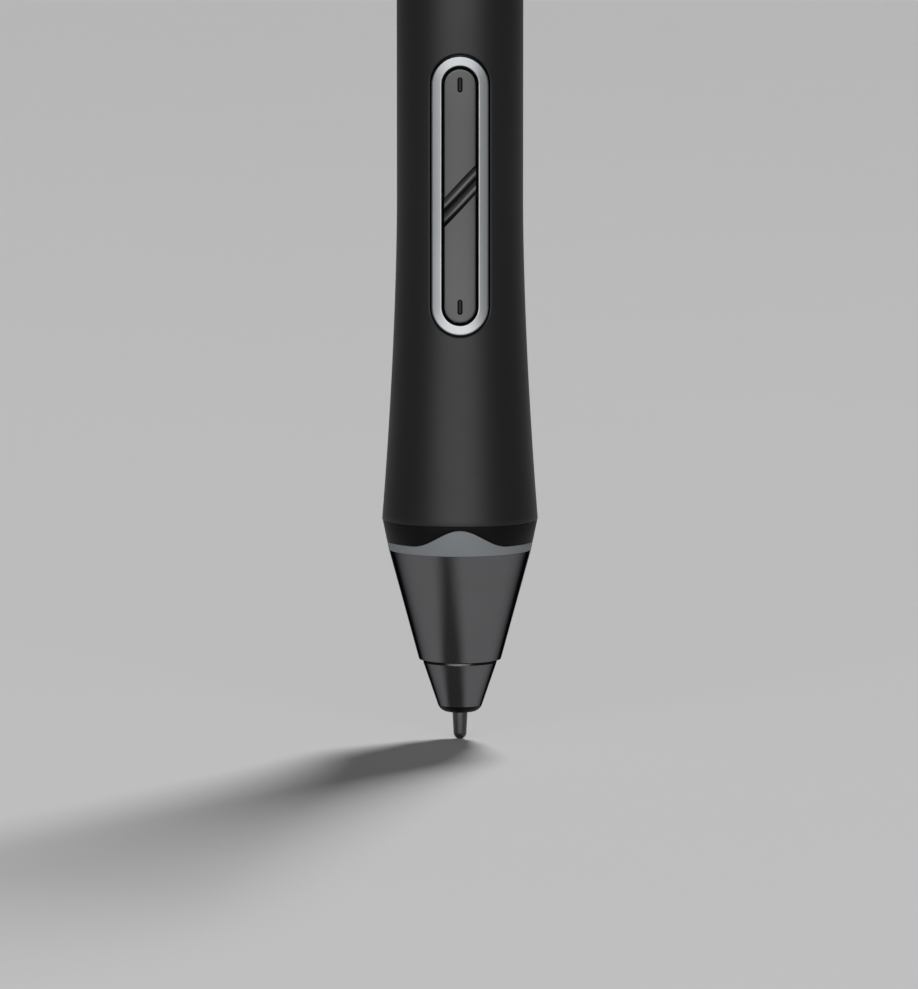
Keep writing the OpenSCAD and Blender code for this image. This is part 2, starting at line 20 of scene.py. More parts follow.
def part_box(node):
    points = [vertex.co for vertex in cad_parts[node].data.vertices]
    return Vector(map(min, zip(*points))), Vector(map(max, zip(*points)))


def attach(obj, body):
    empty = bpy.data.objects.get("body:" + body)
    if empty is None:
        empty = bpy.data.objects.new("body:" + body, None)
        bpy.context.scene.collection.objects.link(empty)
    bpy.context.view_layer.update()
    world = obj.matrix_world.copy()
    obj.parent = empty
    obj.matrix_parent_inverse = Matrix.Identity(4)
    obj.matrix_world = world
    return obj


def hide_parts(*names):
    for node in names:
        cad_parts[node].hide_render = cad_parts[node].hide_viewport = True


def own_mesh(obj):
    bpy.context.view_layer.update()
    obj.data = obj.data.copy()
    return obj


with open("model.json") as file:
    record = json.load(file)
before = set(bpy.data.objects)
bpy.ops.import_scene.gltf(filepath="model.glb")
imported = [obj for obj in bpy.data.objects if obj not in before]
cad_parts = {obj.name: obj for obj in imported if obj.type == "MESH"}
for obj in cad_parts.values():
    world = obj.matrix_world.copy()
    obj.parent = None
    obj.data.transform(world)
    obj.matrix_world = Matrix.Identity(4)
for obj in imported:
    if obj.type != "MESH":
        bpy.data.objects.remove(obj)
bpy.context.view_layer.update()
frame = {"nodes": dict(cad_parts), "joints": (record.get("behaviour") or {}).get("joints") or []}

LOG = logging.getLogger("pen")
MM = 0.001
# Vertices closer than MERGE, in metres, become one, and those within NEAR of a ring lie on it.
MERGE = 1e-7
NEAR = 10 * MERGE
# Segments round the pen's axis and round a rod.
TURN_STEPS = 240
ROD_STEPS = 32
# Segments of a rounded edge: so many for each millimetre of its radius, and never fewer than the least.
ROUND_STEPS_PER_MM = 10
ROUND_STEPS_LEAST = 3
# Faces that meet at more than this angle keep a crisp edge.
SHARP_ANGLE = math.radians(32)
# Levels of finer noise in the grain and in the patches, and the gap between tracks as a share of a pitch.
GRAIN_DETAIL = 2.0
PATCH_DETAIL = 3.0
TRACK_GAP = 0.06
# Radians through which Blender's wave texture runs in one unit at a scale of 1.
WAVE_RATE = 20
AXIS = (0.0, 0.0, 1.0)
ORIGIN = (0.0, 0.0, 0.0)

Point = tuple[float, float]


class Body(Enum):
    """Bodies of the frame that the new pieces ride on."""

    PEN = "pen"
    NIB = "nib_unit"
    ROCKER = "rocker"


class Pattern(Enum):
    """What breaks up a surface apart from its grain."""

    CLOUDS = "soft patches"
    TURNS = "turns of wire"
    TRACKS = "conductor tracks"


class Join(Enum):
    """How a tool meets the piece that it works on."""

    CUT = "DIFFERENCE"
    WELD = "UNION"


def foot(node: str) -> float:
    """Height of a CAD node's lower end, in millimetres."""
    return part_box(node)[0].z / MM


def head(node: str) -> float:
    """Height of a CAD node's upper end, in millimetres."""
    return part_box(node)[1].z / MM


def joint_place(name: str) -> Vector:
    """Place of a joint of the frame, in millimetres.

    Args:
        name: Name of the joint.

    Returns:
        A point on its axis.
    """
    joint = next(j for j in frame["joints"] if j["name"] == name)
    return Vector(joint["pos_m"]) / MM


KEY_PIVOT = joint_place("rocker_tilt")


def linear(colour: str) -> tuple[float, float, float, float]:
    """Turn an sRGB hex colour to linear light.

    Args:
        colour: Six hex digits after a hash sign.

    Returns:
        Red, green, blue and an alpha of 1.
    """
    shares = [int(colour[i : i + 2], 16) / 255 for i in (1, 3, 5)]
    red, green, blue = (
        s / 12.92 if s <= 0.04045 else ((s + 0.055) / 1.055) ** 2.4 for s in shares
    )
    return red, green, blue, 1.0


def add_node(
    tree: bpy.types.NodeTree, kind: str, inputs: dict | None = None, **settings: object
) -> bpy.types.Node:
    """Add a node with its settings, values and links.

    Args:
        tree: Node tree that gets the node.
        kind: Blender's name for the kind of node.
        inputs: Values or sockets by the name or index of the input.
        settings: Properties of the node.

    Returns:
        The new node.
    """
    node = tree.nodes.new(kind)
    for key, value in settings.items():
        setattr(node, key, value)
    for key, value in (inputs or {}).items():
        if isinstance(value, bpy.types.NodeSocket):
            tree.links.new(value, node.inputs[key])
        else:
            node.inputs[key].default_value = value
    return node


@dataclass(frozen=True)
class Finish:
    """A real material and how its surface was made.

    Attributes:
        name: Common name of the material and its surface.
        colour: sRGB hex colour.
        roughness: Mean roughness of the surface.
        uneven: How far the roughness wanders from its mean.
        patch_mm: Size of the soft patches, the pitch of the turns or that of the tracks.
        patch_shade: Share of the colour that the patches take away.
        grain_mm: Size of the surface's grain.
        grain_depth_mm: Depth of that grain.
        metallic: 1 for bare metal.
        ior: Index of refraction of a plastic or lacquer.
        specular: Strength of the reflection at the front, 0.5 for a bare surface.
        edge_tint: Share of a metal's reflection that is left where its surface turns away.
        pattern: What breaks up the surface.
    """

    name: str
    colour: str
    roughness: float
    uneven: float = 0.05
    patch_mm: float = 5.0
    patch_shade: float = 0.12
    grain_mm: float = 0.25
    grain_depth_mm: float = 0.001
    metallic: float = 0.0
    ior: float = 1.5
    specular: float = 0.5
    edge_tint: float = 1.0
    pattern: Pattern = Pattern.CLOUDS

    @cache
    def material(self) -> bpy.types.Material:
        """Make the material once.

        Returns:
            The material, the same one at every call.
        """
        made = bpy.data.materials.new(self.name)
        made.use_nodes = True
        tree = made.node_tree
        shader = tree.nodes["Principled BSDF"]
        shader.inputs["Metallic"].default_value = self.metallic
        shader.inputs["IOR"].default_value = self.ior
        shader.inputs["Specular IOR Level"].default_value = self.specular
        shader.inputs["Specular Tint"].default_value = (*[self.edge_tint] * 3, 1.0)
        place = add_node(tree, "ShaderNodeTexCoord").outputs["Object"]
        patch = self.patches(tree, place)
        full = linear(self.colour)
        dark = (*(c * (1 - self.patch_shade) for c in full[:3]), 1.0)
        tint = add_node(
            tree, "ShaderNodeMix", {0: patch, 6: dark, 7: full}, data_type="RGBA"
        )
        wander = add_node(
            tree,
            "ShaderNodeMapRange",
            {
                "Value": patch, "To Min": self.roughness + self.uneven,
                "To Max": self.roughness - self.uneven,
            },
        )
        grain = add_node(
            tree,
            "ShaderNodeTexNoise",
            {"Vector": place, "Scale": 1 / (self.grain_mm * MM), "Detail": GRAIN_DETAIL},
        )
        relief = add_node(
            tree,
            "ShaderNodeBump",
            {"Height": grain.outputs[0], "Distance": self.grain_depth_mm * MM},
        )
        tree.links.new(tint.outputs[2], shader.inputs["Base Color"])
        tree.links.new(wander.outputs[0], shader.inputs["Roughness"])
        tree.links.new(relief.outputs[0], shader.inputs["Normal"])
        return made

    def patches(
        self, tree: bpy.types.NodeTree, place: bpy.types.NodeSocket
    ) -> bpy.types.NodeSocket:
        """Add what breaks up the surface.

        Args:
            tree: The material's node tree.
            place: Where a point is on the piece.

        Returns:
            A number from 0 to 1 over the surface.
        """
        scale = 1 / (self.patch_mm * MM)
        if self.pattern is Pattern.TURNS:
            inputs = {"Vector": place, "Scale": scale * math.tau / WAVE_RATE}
            return add_node(
                tree, "ShaderNodeTexWave", inputs, bands_direction="Z"
            ).outputs["Fac"]
        if self.pattern is Pattern.TRACKS:
            upright = add_node(
                tree, "ShaderNodeMapping", {"Vector": place, "Rotation": (math.pi / 2, 0, 0)}
            )
            inputs = {"Vector": upright.outputs[0], "Scale": scale, "Mortar Size": TRACK_GAP}
            return add_node(tree, "ShaderNodeTexBrick", inputs).outputs["Fac"]
        inputs = {"Vector": place, "Scale": scale, "Detail": PATCH_DETAIL}
        return add_node(tree, "ShaderNodeTexNoise", inputs).outputs[0]


# Polyurethane soft-touch lacquer on ABS: a velvety black that spreads one wide streak of light.
# Its tooth is drawn 0.25 mm wide, several times too coarse, so that it shows at all.
SOFT_TOUCH = Finish(
    "soft_touch_lacquer", "#0c0c0d", 0.5, uneven=0.03, grain_depth_mm=0.0012, specular=0.4
)
# Black chrome on polished ABS: a dark mirror with grey bands, black where it turns away.
BLACK_CHROME = Finish(
    "black_chromed_abs", "#767678", 0.18, uneven=0.02, patch_mm=4.0, grain_depth_mm=0.0001,
    metallic=1.0, edge_tint=0.0,
)
# Satin black ABS moulding of the collar: near-black, with hardly any highlight. The same finish is painted
# shade inside the bezel's skirt and a painted dark reflection on the nose's downward-facing rim.
SATIN_ABS_AND_PAINTED_SHADE = Finish("satin_black_abs_and_painted_shade", "#0a0a0b", 0.5, grain_depth_mm=0.0008, specular=0.1)
# Grey ABS moulding with an even spark-eroded surface: flat mid grey, no highlight of its own.
GREY_ABS = Finish("spark_finished_grey_abs", "#777b7e", 0.6, patch_shade=0.06, specular=0.3)
# Bead-blasted anodised aluminium: bright silver whose fine tooth blurs what it mirrors.
ALUMINIUM = Finish(
    "blasted_anodised_aluminium", "#8d8f91", 0.38, uneven=0.03, patch_mm=3.0, patch_shade=0.05,
    grain_mm=0.12, grain_depth_mm=0.0004, metallic=1.0,
)
# Graphite lacquer with metal flake on the keytop: grey where it faces the light, dark in its grooves.
KEY_LACQUER = Finish(
    "graphite_metal_lacquer", "#414141", 0.38, uneven=0.03, patch_shade=0.06, grain_depth_mm=0.0006,
    metallic=1.0,
)
# Flat black in the sunk marks.
MARK_BLACK = Finish("black_mark_fill", "#060606", 0.8, specular=0.1)
# Charcoal ABS of the pip in each mark: darker and flatter than the key's top. Under the key the same
# charcoal is painted shade on the lug, pivot pin and nubs, so that the pin shows no glint in the gap.
CHARCOAL_ABS_AND_PAINTED_SHADE = Finish("charcoal_abs_and_painted_shade", "#19191a", 0.6, patch_mm=0.5, patch_shade=0.06, specular=0.2)
# Acetal nib: dark waxy grey with a bright streak.
ACETAL = Finish("dark_acetal", "#111112", 0.36, patch_mm=0.8, grain_mm=0.1, ior=1.7)
# Glass-filled nylon carrier: grey with a mottled skin.
NYLON = Finish("glass_filled_nylon", "#3f4348", 0.6, patch_mm=1.0, patch_shade=0.25)
# White acetal holder: milky, slightly waxy.
WHITE_ACETAL = Finish("white_acetal", "#dcdcd6", 0.35, patch_shade=0.05, ior=1.48)
# Cream nylon plungers: matte and warm.
CREAM_NYLON = Finish("cream_nylon", "#d9d4c6", 0.5, patch_mm=1.0, patch_shade=0.08)
# Sintered ferrite: dull grey-brown with visible pores.
FERRITE = Finish(
    "sintered_ferrite", "#4a4643", 0.55, patch_mm=0.4, patch_shade=0.35, grain_mm=0.1
)
# Enamelled copper wire, wound close: one shade per turn of 0.12 mm wire.
COPPER = Finish(
    "enamelled_copper", "#c27a45", 0.3, patch_mm=0.12, patch_shade=0.6, metallic=1.0,
    pattern=Pattern.TURNS,
)
# Drawn spring steel: bright with faint drawing marks.
STEEL = Finish(
    "drawn_spring_steel", "#bcbfc3", 0.25, patch_mm=0.5, patch_shade=0.2, metallic=1.0
)
# Painted steel can: matte taupe, lightly orange-peeled.
CAN_PAINT = Finish("painted_steel_can", "#7b746e", 0.5, patch_mm=1.5, grain_depth_mm=0.002)
# Matte solder mask over copper tracks: deep green, darker between the 1.2 mm tracks.
SOLDER_MASK = Finish(
    "green_solder_mask", "#10301f", 0.65, patch_mm=1.2, patch_shade=0.3, specular=0.2,
    pattern=Pattern.TRACKS,
)
# Moulded epoxy packages: charcoal with a stony grain.
EPOXY = Finish("moulded_epoxy", "#262626", 0.55, patch_mm=0.6, patch_shade=0.3)
# Uncoated backdrop paper: even pale grey without a highlight.
PAPER = Finish(
    "backdrop_paper", "#d6d6d6", 0.9, patch_mm=60.0, patch_shade=0.01, grain_mm=2.0,
    grain_depth_mm=0.0, specular=0.1,
)


@dataclass(frozen=True)
class Corner:
    """Corner of a turned outline: its radius, its height and the radius that rounds it."""

    r: float
    z: float
    edge: float = 0.0

    def holds(self, vert: bmesh.types.BMVert) -> bool:
        """Tell whether a vertex lies on the ring that this corner makes."""
        off = math.hypot(math.hypot(vert.co.x, vert.co.y) - self.r * MM, vert.co.z - self.z * MM)
        return off < NEAR


def round_edges(bm: bmesh.types.BMesh, edges: Sequence[bmesh.types.BMEdge], edge_mm: float) -> None:
    """Round some edges of a mesh.

    Args:
        bm: Mesh to change.
        edges: Edges to round.
        edge_mm: Radius of the rounding.
    """
    steps = max(ROUND_STEPS_LEAST, math.ceil(ROUND_STEPS_PER_MM * edge_mm))
    bmesh.ops.bevel(
        bm, geom=list(edges), offset=edge_mm * MM, offset_type="OFFSET", segments=steps, profile=0.5,
        affect="EDGES", material=-1,
    )


def turn(outline: Sequence[Corner], steps: int = TURN_STEPS) -> bmesh.types.BMesh:
    """Spin an outline round the pen's axis into a closed solid.

    Args:
        outline: Corners in order. The last joins the first unless both lie on the axis.
        steps: Segments round the axis.

    Returns:
        The solid, with the marked corners rounded.
    """
    bm = bmesh.new()
    verts = [bm.verts.new((c.r * MM, 0.0, c.z * MM)) for c in outline]
    pairs = list(zip(verts, verts[1:]))
    if outline[0].r or outline[-1].r:
        pairs.append((verts[-1], verts[0]))
    edges = [bm.edges.new(pair) for pair in pairs]
    bmesh.ops.spin(
        bm, geom=verts + edges, cent=ORIGIN, axis=AXIS, angle=math.tau, steps=steps, use_merge=True
    )
    bmesh.ops.remove_doubles(bm, verts=bm.verts, dist=MERGE)
    bmesh.ops.recalc_face_normals(bm, faces=bm.faces)
    for corner in outline:
        if corner.edge:
            ring = [e for e in bm.edges if all(corner.holds(v) for v in e.verts)]
            round_edges(bm, ring, corner.edge)
    return bm


def rod(middle: Vector, axis: str, radius: float, length: float) -> bmesh.types.BMesh:
    """Make a round rod with flat ends.

    Args:
        middle: Its middle, in millimetres.
        axis: Axis about which it is turned down: X lays it front to back, and Y across the pen.
        radius: Its radius.
        length: Its length.

    Returns:
        The rod.
    """
    bm = bmesh.new()
    bmesh.ops.create_cone(
        bm, cap_ends=True, segments=ROD_STEPS, radius1=radius * MM, radius2=radius * MM,
        depth=length * MM, matrix=Matrix.Translation(middle * MM) @ Matrix.Rotation(math.pi / 2, 4, axis),
    )
    return bm


def quarter(start: Point, end: Point, steps: int = 4) -> list[Point]:
    """Points on a quarter-round that leaves its start upwards and reaches its end sideways.

    Args:
        start: First point, as inset and lift.
        end: Last point.
        steps: Number of short straights.

    Returns:
        The points, both ends among them.
    """
    across, up = end[0] - start[0], end[1] - start[1]
    angles = [math.pi / 2 * i / steps for i in range(steps + 1)]
    return [
        (start[0] + across * (1 - math.cos(a)), start[1] + up * math.sin(a)) for a in angles
    ]


@dataclass(frozen=True)
class Skin:
    """Outer surface of the grip barrel, straight above and flared below."""

    grip_z: float = foot("grip_barrel")
    rear_z: float = foot("rear_barrel")
    flare_len: float = 30.8
    flare_power: float = 1.7
    grip_r: float = 7.5
    barrel_r: float = 6.05

    def radius(self, z: float) -> float:
        """Radius of the skin at a height."""
        share = (self.grip_z + self.flare_len - z) / self.flare_len
        return self.barrel_r + (self.grip_r - self.barrel_r) * min(1, max(0, share)) ** self.flare_power


SKIN = Skin()


@dataclass(frozen=True)
class Track:
    """Outline with two round ends, laid on the barrel's skin in front of the axis.

    Attributes:
        width: Width across the pen.
        length: Length along the pen.
        centre: Height of its middle.
        arc_steps: Segments in each round end.
        side_steps: Segments in each straight side.
    """

    width: float
    length: float
    centre: float
    arc_steps: int = 48
    side_steps: int = 36

    @property
    def stations(self) -> int:
        """Number of points round the outline."""
        return 2 * (self.arc_steps + self.side_steps)

    def place(self, station: int, point: Point) -> Vector:
        """Find where a point of the cross-section lies at one station.

        Args:
            station: Number of the station, counted from the right over the top.
            point: Distance inside the outline and height over the skin.

        Returns:
            The place in metres.
        """
        radius = self.width / 2 - point[0]
        spine = (self.length - self.width) / 2
        half, step = divmod(station, self.arc_steps + self.side_steps)
        sign = 1 - 2 * half
        angle = math.pi * min(1.0, step / self.arc_steps)
        x = sign * radius * math.cos(angle)
        if step <= self.arc_steps:
            up = sign * (spine + radius * math.sin(angle))
        else:
            up = sign * spine * (1 - 2 * (step - self.arc_steps) / self.side_steps)
        z = self.centre + up
        y = -math.sqrt((SKIN.radius(z) + point[1]) ** 2 - x * x)
        return Vector((x, y, z)) * MM

    def cap(self, inset: float, lift: float, rings: int = 6) -> list[Point]:
        """Rings that close the outline from an inset to its middle line.

        Args:
            inset: Where the cap starts.
            lift: Height of the cap over the skin.
            rings: Number of rings.

        Returns:
            Points of the cross-section, from the start inwards.
        """
        middle = self.width / 2
        return [(inset + (middle - inset) * i / rings, lift) for i in range(rings + 1)]

    def sweep(self, section: Sequence[Point]) -> bmesh.types.BMesh:
        """Carry a cross-section round the outline, loop after loop.

        Args:
            section: Points as inset and lift. It starts and ends on the middle line, or on one point.

        Returns:
            A closed solid.
        """
        bm = bmesh.new()
        number = bm.verts.layers.int.new("station")
        bmesh.ops.create_circle(bm, segments=self.stations, radius=1.0)
        for i, vert in enumerate(bm.verts):
            vert[number] = i
            vert.co = self.place(i, section[0])
        loop = list(bm.edges)
        for point in section[1:]:
            made = bmesh.ops.extrude_edge_only(bm, edges=loop)["geom"]
            ring = {g for g in made if isinstance(g, bmesh.types.BMVert)}
            for vert in ring:
                vert.co = self.place(vert[number], point)
            loop = [
                g for g in made if isinstance(g, bmesh.types.BMEdge) and ring.issuperset(g.verts)
            ]
        bmesh.ops.remove_doubles(bm, verts=bm.verts, dist=MERGE)
        bmesh.ops.recalc_face_normals(bm, faces=bm.faces)
        return bm


def add_object(name: str, bm: bmesh.types.BMesh, finish: Finish) -> bpy.types.Object:
    """Turn a mesh under work into an object at the origin.

    Args:
        name: Name of the object.
        bm: Mesh, which is freed.
        finish: Its surface.

    Returns:
        The object, linked to the scene.
    """
    mesh = bpy.data.meshes.new(name)
    bm.to_mesh(mesh)
    bm.free()
    mesh.materials.append(finish.material())
    made = bpy.data.objects.new(name, mesh)
    bpy.context.scene.collection.objects.link(made)
    return made


def work(piece: bpy.types.Object, bm: bmesh.types.BMesh, join: Join, finish: Finish) -> None:
    """Cut a tool out of a piece, or weld it on.

    Args:
        piece: Object that is changed.
        bm: The tool's mesh, which is freed.
        join: Whether the tool cuts or is welded on.
        finish: Surface that the tool leaves.
    """
    tool = add_object("tool", bm, finish)
    step = piece.modifiers.new("work", "BOOLEAN")
    step.object = tool
    step.operation = join.value
    step.solver = "EXACT"
    step.material_mode = "TRANSFER"
    depsgraph = bpy.context.evaluated_depsgraph_get()
    mesh = bpy.data.meshes.new_from_object(piece.evaluated_get(depsgraph))
    piece.modifiers.remove(step)
    old, piece.data = piece.data, mesh
    bpy.data.meshes.remove(old)
    bpy.data.meshes.remove(tool.data)
    mesh.name = piece.name


def paint_below(piece: bpy.types.Object, z: float, finish: Finish) -> None:
    """Give the lowest faces of a piece a second surface.

    Args:
        piece: Object with one surface so far.
        z: Height that the faces' middles lie below, in millimetres.
        finish: Their surface.
    """
    piece.data.materials.append(finish.material())
    for face in piece.data.polygons:
        if face.center.z < z * MM:
            face.material_index = 1


def hand_over(piece: bpy.types.Object, body: Body, slot: str, *nodes: str) -> None:
    """Shade a finished piece and set it on its body.

    Args:
        piece: The finished piece.
        body: Body that it rides on.
        slot: Material slot of the record that it belongs to; not used.
        nodes: CAD nodes that it stands for.
    """
    piece.data.shade_smooth()
    piece.data.set_sharp_from_angle(angle=SHARP_ANGLE)
    even = piece.modifiers.new("even_shading", "WEIGHTED_NORMAL")
    even.keep_sharp = True
    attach(piece, body.value)
    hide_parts(*nodes)
    LOG.info("%s: %d faces, rides %s", piece.name, len(piece.data.polygons), body.value)


@dataclass
class NibUnit:
    """Wear nib, whose point is rounded but for a flat too small to see."""

    shaft_r: float = 0.725
    point_r: float = 0.625
    point_share: float = 0.98
    taper_h: float = 2.6
    top_z: float = head("nib")
    top_edge: float = 0.1
    steps: int = 96

    def build(self) -> None:
        """Turn the nib and set it on the sliding body."""
        outline = [
            Corner(0.0, 0.0),
            Corner(self.point_r, 0.0, self.point_share * self.point_r),
            Corner(self.point_r, self.point_r),
            Corner(self.shaft_r, self.taper_h),
            Corner(self.shaft_r, self.top_z, self.top_edge),
            Corner(0.0, self.top_z),
        ]
        nib = add_object("nib_point", turn(outline, self.steps), ACETAL)
        hand_over(nib, Body.NIB, "nib_grey", "nib")


@dataclass
class FrontEnd:
    """Gloss nose whose rim is painted near-black as a painted dark reflection, and the gloss cone between
    it and the grip.
    """

    nose_z: float = foot("nose_tip")
    nose_rim_r: float = 1.9
    nose_round: float = 0.95
    nose_bore_r: float = 0.845
    nose_bore_edge: float = 0.08
    nose_seam_r: float = 3.55
    nose_bevel: float = 0.076
    nose_bevel_h: float = 0.3
    seam_lift: float = 0.12
    peg_r: float = 2.4
    peg_h: float = 3.0
    peg_gap: float = 0.05
    cone_z: float = foot("front_cone")
    cone_front_r: float = 3.92
    cone_back_r: float = 6.85
    cone_back_z: float = foot("accent_ring")
    cone_wall: float = 1.15
    neck_r: float = 5.5
    neck_bore_r: float = 4.6
    neck_z: float = head("front_cone")
    seam_edge: float = 0.06

    def build(self) -> None:
        """Turn the nose and the cone."""
        peg_z = self.cone_z + self.peg_h
        slope = (self.cone_back_r - self.cone_front_r) / (self.cone_back_z - self.cone_z)
        cavity_r = self.cone_front_r + slope * self.peg_h - self.cone_wall
        cavity_z = self.cone_z + (self.neck_bore_r + self.cone_wall - self.cone_front_r) / slope
        seam_z = self.cone_z + self.seam_lift
        bevel_z = seam_z - self.nose_bevel_h
        lean = math.atan2(self.nose_seam_r - self.nose_rim_r, bevel_z - self.nose_z)
        rim_cut = self.nose_round * math.tan(math.pi / 4 - lean / 2)
        # The bevel under the seam has crisp edges, so that it catches the light by itself.
        nose = [
            Corner(self.nose_bore_r, self.nose_z, self.nose_bore_edge),
            Corner(self.nose_rim_r, self.nose_z, rim_cut),
            Corner(self.nose_seam_r, bevel_z),
            Corner(self.nose_seam_r - self.nose_bevel, seam_z),
            Corner(self.peg_r, seam_z),
            Corner(self.peg_r, peg_z),
            Corner(self.nose_bore_r, peg_z),
        ]
        bore_r = self.peg_r + self.peg_gap
        cone = [
            Corner(bore_r, seam_z),
            Corner(self.cone_front_r + slope * self.seam_lift, seam_z, self.seam_edge),
            Corner(self.cone_back_r, self.cone_back_z),
            Corner(self.neck_r, self.cone_back_z),
            Corner(self.neck_r, self.neck_z),
            Corner(self.neck_bore_r, self.neck_z),
            Corner(self.neck_bore_r, cavity_z),
            Corner(cavity_r, peg_z),
            Corner(bore_r, peg_z),
        ]
        nose_shell = add_object("nose_shell", turn(nose), BLACK_CHROME)
        # The rounded rim is painted near-black: a painted dark reflection of the floor under the nib.
        paint_below(nose_shell, self.nose_z + rim_cut * math.cos(lean), SATIN_ABS_AND_PAINTED_SHADE)
        hand_over(nose_shell, Body.PEN, "gloss_black", "nose_tip")
        cone_shell = add_object("cone_shell", turn(cone), BLACK_CHROME)
        hand_over(cone_shell, Body.PEN, "gloss_black", "front_cone")


@dataclass
class Shoulder:
    """Grey accent ring whose upper edge rises in a wave, and the black collar above it."""

    low_z: float = foot("accent_ring")
    low_r: float = 6.85
    high_z: float = foot("grip_barrel")
    high_r: float = 7.45
    bore_r: float = 5.55
    crest_h: float = 1.7
    crest_w: float = 9.2
    gap: float = 0.05
    edge: float = 0.05
    steps: int = 360
    wave_passes: int = 3

    @property
    def ring_top(self) -> float:
        """Height of the ring's plain upper edge."""
        return head("accent_ring") - self.crest_h

    def radius(self, z: float) -> float:
        """Outer radius at a height."""
        return self.low_r + (self.high_r - self.low_r) * (z - self.low_z) / (self.high_z - self.low_z)

    def wave(self, x: float, y: float) -> float:
        """Rise of the wave over the ring's plain edge at a point beside the axis."""
        if y > 0 or abs(x) > self.crest_w / 2:
            return 0.0
        return self.crest_h * (1 + math.cos(math.tau * x / self.crest_w)) / 2

    def lift_edge(self, bm: bmesh.types.BMesh, z: float) -> None:
        """Bend one level edge of a ring into the wave and round it.

        A point that rises also moves out along the slope, which changes its rise a little, so a few passes
        settle it.

        Args:
            bm: The ring.
            z: Height of the edge before it is bent.
        """
        level = {v for v in bm.verts if abs(v.co.z - z * MM) < NEAR}
        outside = {v for v in level if Corner(self.radius(z), z).holds(v)}
        for vert in level:
            rise = 0.0
            for _ in range(self.wave_passes):
                rise = self.wave(vert.co.x / MM, vert.co.y / MM)
                if vert in outside:
                    around = Vector((vert.co.x, vert.co.y, 0)).normalized()
                    vert.co.xy = (around * self.radius(z + rise) * MM).xy
            vert.co.z = (z + rise) * MM
        round_edges(bm, [e for e in bm.edges if outside.issuperset(e.verts)], self.edge)

    def build(self) -> None:
        """Turn the ring and the collar and bend the edges where they meet."""
        collar_z = self.ring_top + self.gap
        ring = turn(
            [
                Corner(self.bore_r, self.low_z),
                Corner(self.low_r, self.low_z, self.edge),
                Corner(self.radius(self.ring_top), self.ring_top),
                Corner(self.bore_r, self.ring_top),
            ],
            self.steps,
        )
        self.lift_edge(ring, self.ring_top)
        collar = turn(
            [
                Corner(self.bore_r, collar_z),
                Corner(self.radius(collar_z), collar_z),
                Corner(self.high_r, self.high_z, self.edge),
                Corner(self.bore_r, self.high_z),
            ],
            self.steps,
        )
        self.lift_edge(collar, collar_z)
        hand_over(add_object("accent_band", ring, GREY_ABS), Body.PEN, "accent_grey", "accent_ring")
        hand_over(add_object("collar_band", collar, SATIN_ABS_AND_PAINTED_SHADE), Body.PEN, "collar_black", "grip_collar")


